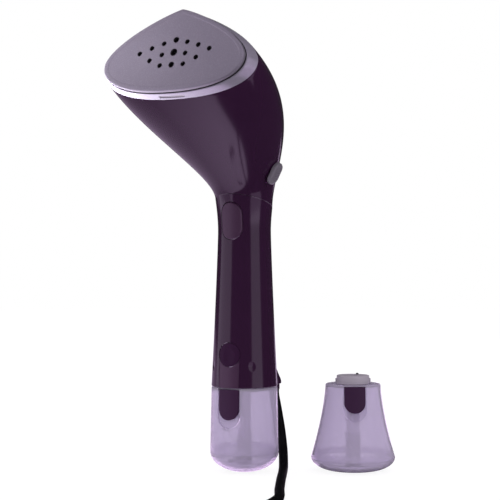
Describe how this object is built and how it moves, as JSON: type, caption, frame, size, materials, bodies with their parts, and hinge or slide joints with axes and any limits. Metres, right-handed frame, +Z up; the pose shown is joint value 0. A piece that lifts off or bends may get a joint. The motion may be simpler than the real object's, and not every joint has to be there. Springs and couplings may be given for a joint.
{
  "type": "garment steamer",
  "caption": "Handheld garment steamer with a wide steam plate, trigger handle, detachable water tank, mains cord and a spare tank.",
  "frame": {"origin": "middle of the grip, on the axis of the handle", "axes": "+Z up along the handle, the steam plate faces -Y, +X to the right of the steam plate as the user behind it sees it"},
  "size_m": [0.1686, 0.4168, 0.3473],
  "materials": {
    "aubergine": "gloss",
    "trigger_plastic": "satin",
    "plate_coating": "satin",
    "bezel_plastic": "metallic gloss",
    "rubber_dark": "matte",
    "cast_aluminium": "cast",
    "steel_sheet": "satin",
    "heater_steel": "heat-darkened",
    "ceramic_white": "matte",
    "fuse_brass": "satin",
    "steel_bright": "bright",
    "slider_grey": "satin",
    "switch_black": "matte",
    "pump_plastic": "satin",
    "coil_copper": "wound wire",
    "hose_silicone": "translucent",
    "board_green": "satin",
    "wire_red": "satin",
    "socket_plastic": "satin",
    "cord_black": "satin",
    "plug_brass": "nickel-plated",
    "tank_clear": "translucent gloss",
    "collar_grey": "satin",
    "pickup_grey": "satin",
    "vent_black": "satin"
  },
  "bodies": {
    "steamer": {"steam_plate": "plate_coating", "plate_seal": "rubber_dark", "head_bezel": "bezel_plastic", "boiler": "cast_aluminium", "boiler_cover": "steel_sheet", "heating_element": "heater_steel", "thermostat": "ceramic_white", "thermal_fuse": "fuse_brass", "boiler_screws": "steel_bright", "heat_shield": "steel_sheet", "head_shell": "aubergine", "slider_switch": "switch_black", "handle_front": "aubergine", "handle_rear": "aubergine", "handle_screws": "steel_bright", "trigger_pin": "steel_bright", "trigger_spring": "steel_bright", "trigger_bracket": "switch_black", "trigger_switch": "switch_black", "pump_body": "pump_plastic", "pump_coil": "coil_copper", "pump_yoke": "steel_sheet", "pump_mounts": "rubber_dark", "suction_hose": "hose_silicone", "delivery_hose": "hose_silicone", "control_board": "board_green", "terminal_block": "ceramic_white", "wiring_harness": "wire_red", "tank_socket": "socket_plastic", "socket_seal": "rubber_dark", "release_spring": "steel_bright", "cord_relief": "aubergine", "mains_cord": "cord_black", "cord_coil": "cord_black", "plug_lead": "cord_black", "mains_plug": "cord_black", "plug_pins": "plug_brass"},
    "trigger": {"steam_trigger": "trigger_plastic"},
    "slider": {"thumb_slider": "slider_grey"},
    "button": {"release_button": "aubergine"},
    "latch": {"tank_latch": "steel_bright"},
    "tank": {"tank_shell": "tank_clear", "tank_base": "tank_clear", "tank_collar": "collar_grey", "door_pin": "steel_bright", "pickup_tube": "pickup_grey", "pickup_filter": "pickup_grey"},
    "tank_door": {"fill_door": "aubergine", "door_seal": "rubber_dark"},
    "tank_vent": {"vent_pin": "vent_black"},
    "spare_tank": {"spare_shell": "tank_clear", "spare_base": "tank_clear", "spare_collar": "collar_grey", "spare_door_pin": "steel_bright", "spare_pickup_tube": "pickup_grey", "spare_pickup_filter": "pickup_grey"},
    "spare_tank_door": {"spare_door": "aubergine", "spare_door_seal": "rubber_dark"},
    "spare_tank_vent": {"spare_vent_pin": "vent_black"}
  },
  "joints": [
    {"name": "trigger_press", "type": "hinge", "parent": "steamer", "child": "trigger", "pos_m": [0, -0.0155, 0.057], "axis": [1, 0, 0], "range_deg": [0, 6], "stiffness_Nm_per_rad": 0.3, "springref_deg": -11.46, "deforming": ["trigger_spring"]},
    {"name": "slider_move", "type": "slide", "parent": "steamer", "child": "slider", "axis": [0.4618, 0, 0.887], "range_m": [0, 0.003]},
    {"name": "release_press", "type": "slide", "parent": "steamer", "child": "button", "axis": [0, 1, 0], "range_m": [0, 0.0025], "stiffness_N_per_m": 800, "springref_m": -0.002, "deforming": ["release_spring"]},
    {"name": "latch_rock", "type": "hinge", "parent": "steamer", "child": "latch", "pos_m": [0, -0.0155, -0.066], "axis": [1, 0, 0], "range_deg": [-20, 0]},
    {"name": "tank_slide", "type": "slide", "parent": "steamer", "child": "tank", "axis": [0, 0, -1], "range_m": [0, 0.012]},
    {"name": "tank_door_hinge", "type": "hinge", "parent": "tank", "child": "tank_door", "pos_m": [0, -0.0238, -0.0867], "axis": [-1, 0, 0], "range_deg": [0, 80]},
    {"name": "tank_vent_press", "type": "slide", "parent": "tank", "child": "tank_vent", "axis": [0, 0, -1], "range_m": [0, 0.0008], "stiffness_N_per_m": 300, "springref_m": -0.001},
    {"name": "spare_tank_lift", "type": "slide", "parent": "steamer", "child": "spare_tank", "axis": [0, 0, 1], "range_m": [0, 0.15]},
    {"name": "spare_door_hinge", "type": "hinge", "parent": "spare_tank", "child": "spare_tank_door", "pos_m": [0.08085, 0.02994, -0.0853], "axis": [-0.866, -0.5, 0], "range_deg": [0, 80]},
    {"name": "spare_vent_press", "type": "slide", "parent": "spare_tank", "child": "spare_tank_vent", "axis": [0, 0, -1], "range_m": [0, 0.0008], "stiffness_N_per_m": 300, "springref_m": -0.001}
  ],
  "couplings": [
    {"joint": "latch_rock", "follows": "release_press", "rad_per_m": -137}
  ]
}
